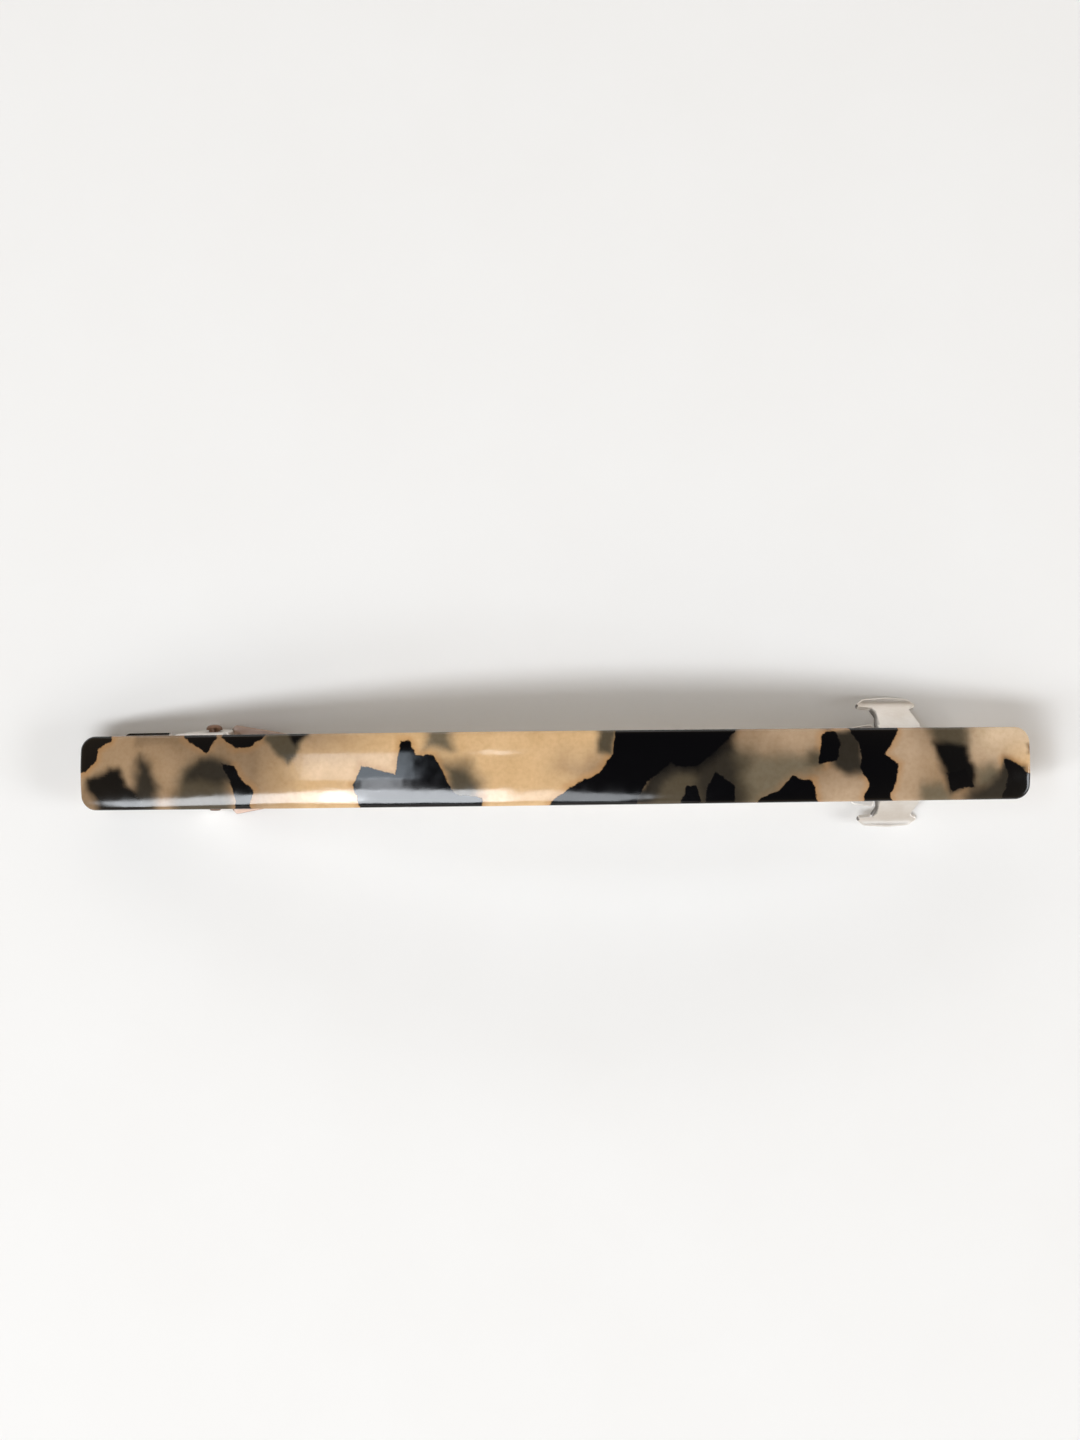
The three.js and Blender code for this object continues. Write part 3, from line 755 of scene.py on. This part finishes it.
def clasp_arm():
    """The arm, with its hinge lugs folded up, its shoulders, a stiffening bead and the ears' notches."""
    heel, shoulder, taper_end, tip = PIN.x - 0.5, -33.9, -23.5, 42.9
    lug = fold(ARM_LUG_FOLD_STARTS, 90, 6)
    middle_z = ARM_CENTRE_Z + math.sqrt(ARM_MIDDLE**2 - PIN.x**2)
    pin_s = np.interp(PIN.z - middle_z, lug[2], lug[0])
    lug_right = PIN.x + ARM_LUG_RADIUS
    slit = shoulder - 0.35 - lug_right
    notch_from, notch_to = EAR_X - 3.4, EAR_X + 3.2

    def side(flare):
        return [
            (heel, ARM_LUG_FOLD_STARTS + 1, 0.15),
            *arc((PIN.x, pin_s), ARM_LUG_RADIUS, 205, 0, 14),
            (lug_right, ARM_LUG_FOLD_STARTS, 0),
            (lug_right + slit, ARM_LUG_FOLD_STARTS, 0),
            (shoulder - 0.35, 4.3, 0.25),
            (shoulder + 0.05, 4.72, 0.3),
            (taper_end, ARM_HALF_WIDTH, 2),
            (notch_from - 3.4, ARM_HALF_WIDTH, 1),
            (notch_from - 2.2, flare - 0.35, 0.8),
            (notch_from, flare, 0.35),
            (notch_from, 1.7, 0.3),
            (notch_to, 1.7, 0.3),
            (notch_to, ARM_HALF_WIDTH, 0.4),
            (tip, ARM_HALF_WIDTH, 2),
        ]

    holes = [hole(PIN.x, pin_s, 0.68), hole(PIN.x, -pin_s, 0.68)]
    outline = rounded(facing(side(4.75), side(4.05)))
    flat, faces, outward = slab([outline, *holes], sheet_profile(SHEET), 0.35)
    x, y, _ = flat.T
    ends = np.clip(np.minimum(x - taper_end, notch_from - 4 - x) / 3, 0, 1)
    flat[:, 2] += 0.22 * np.exp(-((y / 0.75) ** 2)) * ends * ends * (3 - 2 * ends)
    folds = [(heel - 3, lug_right + slit / 2, lug)]
    points = bent(flat, ARM_MIDDLE, ARM_CENTRE_Z, folds)
    made = piece("clasp_arm_pressed", points, faces, CLIP_STEEL, "arm", "clasp_arm")
    # A coppery tint painted round the shoulders for the bar's warm reflection.
    from_shoulder = np.hypot(x - shoulder - 2.5, 0.6 * (np.abs(y) - 4.4))
    set_painted_light(made, "painted_bar_reflection", np.clip(1.5 - from_shoulder / 3, 0, 0.75))
    # Painted shade on the arm's cut edges that face the hinge.
    set_painted_light(made, "painted_shade", hinge_side_edge_shade(outward))


def latch_ear(name, node, body, side):
    """A finger ear: it leaves the plate's edge, narrows to a neck and flares out to a rounded lobe."""
    root = EAR_ROOT_Y
    path = smooth_line(
        [(root, -0.12), (root, -1.6), (root + 0.05, -3), (root + 0.5, -4.6), (root + 1.4, -5.8),
         (root + 2.5, -6.7), (root + 3.3, -7.1), (root + 3.9, -7.05)], 6,
    )
    ways = np.gradient(path, axis=0)
    slope = np.unwrap(np.arctan2(ways[:, 1], ways[:, 0]))
    along = np.concatenate(([0], np.cumsum(np.linalg.norm(np.diff(path, axis=0), axis=1))))
    corners = [
        (-2.85, 0, 0),
        (2.85, 0, 0),
        (2.9, 4.2, 1.5),
        (3.1, 5.2, 0.8),
        (2.75, 6.5, 1.2),
        (2.3, 7.5, 0.3),
        (3.0, 7.7, 0.2),
        (3.1, 8.1, 0.2),
        (2.3, 8.75, 0.8),
        (0, 8.92, 6),
        (-2.6, 8.75, 0.8),
        (-3.45, 8.1, 0.2),
        (-3.35, 7.7, 0.2),
        (-2.0, 7.55, 0.3),
        (-1.6, 6.6, 0.8),
        (-1.9, 5.4, 1),
        (-2.2, 2.9, 1.5),
        (-2.85, 0.9, 0.6),
    ]
    flat, faces, outward = slab([rounded(corners, 0.25)], sheet_profile(EAR_SHEET, EAR_RIM), 0.3)
    x, s, h = flat.T
    turn = np.interp(s, along, slope)
    out = np.interp(s, along, path[:, 0]) - h * np.sin(turn)
    up = np.interp(s, along, path[:, 1]) + h * np.cos(turn)
    points = turned_on_arch(np.column_stack((x, side * out, up)), EAR_STATION, PLATE_UNDERSIDE)
    made = piece(name, points, faces, CLIP_STEEL, body, node)
    # Painted shade on the ear's cut edges that face the hinge.
    set_painted_light(made, "painted_shade", hinge_side_edge_shade(outward))


def hinge_pin():
    """A riveted pin: a domed head behind, its other end peened over."""
    profile = [
        (0, -4.34), (0.3, -4.34), (0.5, -4.31), (0.58, -4.24), (0.6, -4.15), (0.6, 4.2), (0.84, 4.22),
        (0.86, 4.3), (0.84, 4.45), (0.7, 4.64), (0.42, 4.76), (0.2, 4.78), (0.12, 4.72), (0, 4.7),
    ]
    points, faces = lathe(profile)
    points = np.column_stack((points[:, 0], points[:, 2], -points[:, 1])) + np.array(PIN)
    piece("hinge_pin_riveted", points, faces, PIN_STEEL, "bar", "hinge_pin", 60)


def tension_bow():
    """The sprung leaf, swept along its line with rounded edges and a rounded free end."""
    def under(x, gap):
        height = math.sqrt(PLATE_UNDERSIDE**2 - x**2) - FACE_RADIUS
        return (x, height - gap - BOW_THICKNESS / 2)

    eye = [point[:2] for point in arc((PIN.x, PIN.z), BOW_EYE_RADIUS, -20, -225, 28)]
    leaf = [
        eye[-1], (PIN.x + 0.9, PIN.z + 2), under(-32.4, 0.5), under(-16.2, 1.12), under(0, 1.4),
        under(15.5, 1.05), under(29.8, 0.15), under(31, 0.6),
    ]
    line = np.vstack((eye[:-1], smooth_line(leaf, 16)))
    ways = np.gradient(line, axis=0)
    ways /= np.linalg.norm(ways, axis=1)[:, None]
    left = np.linalg.norm(line - line[-1], axis=1)
    into_end = np.maximum(0, BOW_END_ROUNDING - left)
    at_end = BOW_HALF_WIDTH - BOW_END_ROUNDING + np.sqrt(BOW_END_ROUNDING**2 - into_end**2)
    half = np.where((left < BOW_END_ROUNDING) & (line[:, 0] > 0), at_end, BOW_HALF_WIDTH)
    core = BOW_THICKNESS / 2 - BOW_RIM
    section = []
    for quarter, (sign_t, sign_y) in enumerate(((1, 1), (-1, 1), (-1, -1), (1, -1))):
        for t in np.radians(np.linspace(0, 90, 4) + 90 * quarter):
            section.append((sign_t * core + BOW_RIM * math.cos(t), sign_y, BOW_RIM * math.sin(t)))
    points, faces = [], []
    for (x, z), (wx, wz), reach in zip(line, ways, half):
        for off, sign_y, rim_y in section:
            points.append((x - wz * off, sign_y * (reach - BOW_RIM) + rim_y, z + wx * off))
    count = len(section)
    for ring in range(len(line) - 1):
        a, b = ring * count, (ring + 1) * count
        faces += [(a + i, a + (i + 1) % count, b + (i + 1) % count, b + i) for i in range(count)]
    faces += [tuple(range(count)), tuple(range(len(points) - count, len(points)))]
    piece("tension_bow_sprung", points, faces, SPRING_STEEL, "bow", "tension_bow")


def stud(place, station):
    """A drive stud: a domed head with a small dimple under the plate, its shank up in the acetate."""
    profile = [
        (0, -0.46), (0.2, -0.46), (0.3, -0.53), (0.7, -0.5), (1.1, -0.39), (1.35, -0.25), (1.45, -0.12),
        (1.45, -0.06), (1.4, -0.04), (0.85, -0.04), (0.85, 1.9), (0.75, 2.1), (0.5, 2.2), (0, 2.24),
    ]
    points, faces = lathe(profile)
    points = turned_on_arch(points, station, PLATE_UNDERSIDE)
    name = f"stud_{place}"
    piece(f"{name}_domed", points, faces, STUD_BRASS, "bar", name, 40)


acetate_bar()
base_plate()
clasp_arm()
latch_ear("latch_ear_rear_folded", "latch_ear_rear", "ear_rear", 1)
latch_ear("latch_ear_front_folded", "latch_ear_front", "ear_front", -1)
hinge_pin()
tension_bow()
for place, station in STUD_STATIONS.items():
    stud(place, station)


# ---------------------------------------------------------------- floor, light and camera


def floor():
    """The white, faintly flecked floor that the barrette lies on."""
    mesh = bpy.data.meshes.new("floor")
    signs = ((-1, -1), (1, -1), (1, 1), (-1, 1))
    corners = [(x * FLOOR_REACH, y * FLOOR_REACH, 0) for x, y in signs]
    mesh.from_pydata(corners, [], [(0, 1, 2, 3)])
    material, nodes, links = new_material("floor")
    shader = nodes["Principled BSDF"]
    place = millimetres(nodes, links)
    fleck = ramp(nodes, links, noise(nodes, links, place, 0.06, 3.0), 0.35, 0.65, 0.0, 0.25)
    links.new(mixed(nodes, links, fleck, FLOOR_WHITE, FLOOR_FLECK), shader.inputs["Base Color"])
    set_all(shader, Roughness=0.7)
    mesh.materials.append(material)
    made = bpy.data.objects.new("floor", mesh)
    bpy.context.scene.collection.objects.link(made)


def panel(name, lean, spread, radiance, colour=(0.91, 0.95, 1), turned=0):
    """A soft light a metre away, placed and sized by the degrees it covers, as seen from the bar.

    lean is to the left of straight above and to the front of it, and spread is across and along.
    """
    left, front = (math.tan(math.radians(angle)) for angle in lean)
    way = Vector((-left, -front, 1)).normalized()
    across = (Vector((1, 0, 0)) - way * way.x).normalized()
    axes = Matrix((across, way.cross(across), way)).transposed().to_4x4()
    light = bpy.data.lights.new(name, "AREA")
    light.shape = "RECTANGLE"
    light.size, light.size_y = (2 * math.tan(math.radians(angle / 2)) for angle in spread)
    light.energy = radiance * math.pi * light.size * light.size_y
    light.color = colour
    made = bpy.data.objects.new(name, light)
    place = Matrix.Translation(way + Vector((-0.02, 0, 0.012)))
    made.matrix_world = place @ axes @ Matrix.Rotation(math.radians(turned), 4, "Z")
    bpy.context.scene.collection.objects.link(made)


def world():
    """A dim room above, a paler one round about and plain pale walls at the horizon."""
    made = bpy.data.worlds.new("room")
    made.use_nodes = True
    nodes, links = made.node_tree.nodes, made.node_tree.links
    place = nodes.new("ShaderNodeTexCoord")
    height = nodes.new("ShaderNodeSeparateXYZ")
    links.new(place.outputs["Generated"], height.inputs["Vector"])
    share = ramp(nodes, links, height.outputs["Z"], 0.4, 0.93, 0.0, 1.0, smooth=True)
    room = mixed(nodes, links, share, ROOM_ROUND, ROOM_ABOVE)
    wall = ramp(nodes, links, height.outputs["Z"], 0.05, 0.3, 1.0, 0.0, smooth=True)
    links.new(mixed(nodes, links, wall, room, ROOM_WALL), nodes["Background"].inputs["Color"])
    bpy.context.scene.world = made


def camera():
    """The photograph's camera, which looks straight down but for two small turns."""
    made = bpy.data.objects.new("camera", bpy.data.cameras.new("camera"))
    made.data.lens = CAMERA_LENS
    made.data.sensor_width = 36
    made.data.clip_start = 0.01
    turned = Matrix.Rotation(CAMERA_PITCH, 4, "X") @ Matrix.Rotation(CAMERA_ROLL, 4, "Z")
    made.matrix_world = Matrix.Translation(CAMERA_PLACE) @ turned
    bpy.context.scene.collection.objects.link(made)
    bpy.context.scene.camera = made


floor()
panel("window", (17.4, 21.5), (19, 12), 14)
panel("window_left", (37, 25), (26, 8), 13, turned=25)
panel("window_right", (0.5, 22.5), (13, 9), 7, turned=-26)
panel("window_gap", (20.3, 11), (4, 9.5), 7.5)
panel("skylight", (22.7, -3.2), (11.4, 19), 4.8, (0.8, 0.9, 1))
panel("small_pane", (8.3, -12.5), (3.2, 2.8), 7.5)
panel("low_left", (20, 50), (45, 24), 0.8)
panel("low_right", (-62, 28), (22, 22), 8.5)
panel("rear", (0, -66), (75, 9), 2.4)
world()
camera()
bpy.context.scene.view_settings.view_transform = "Standard"
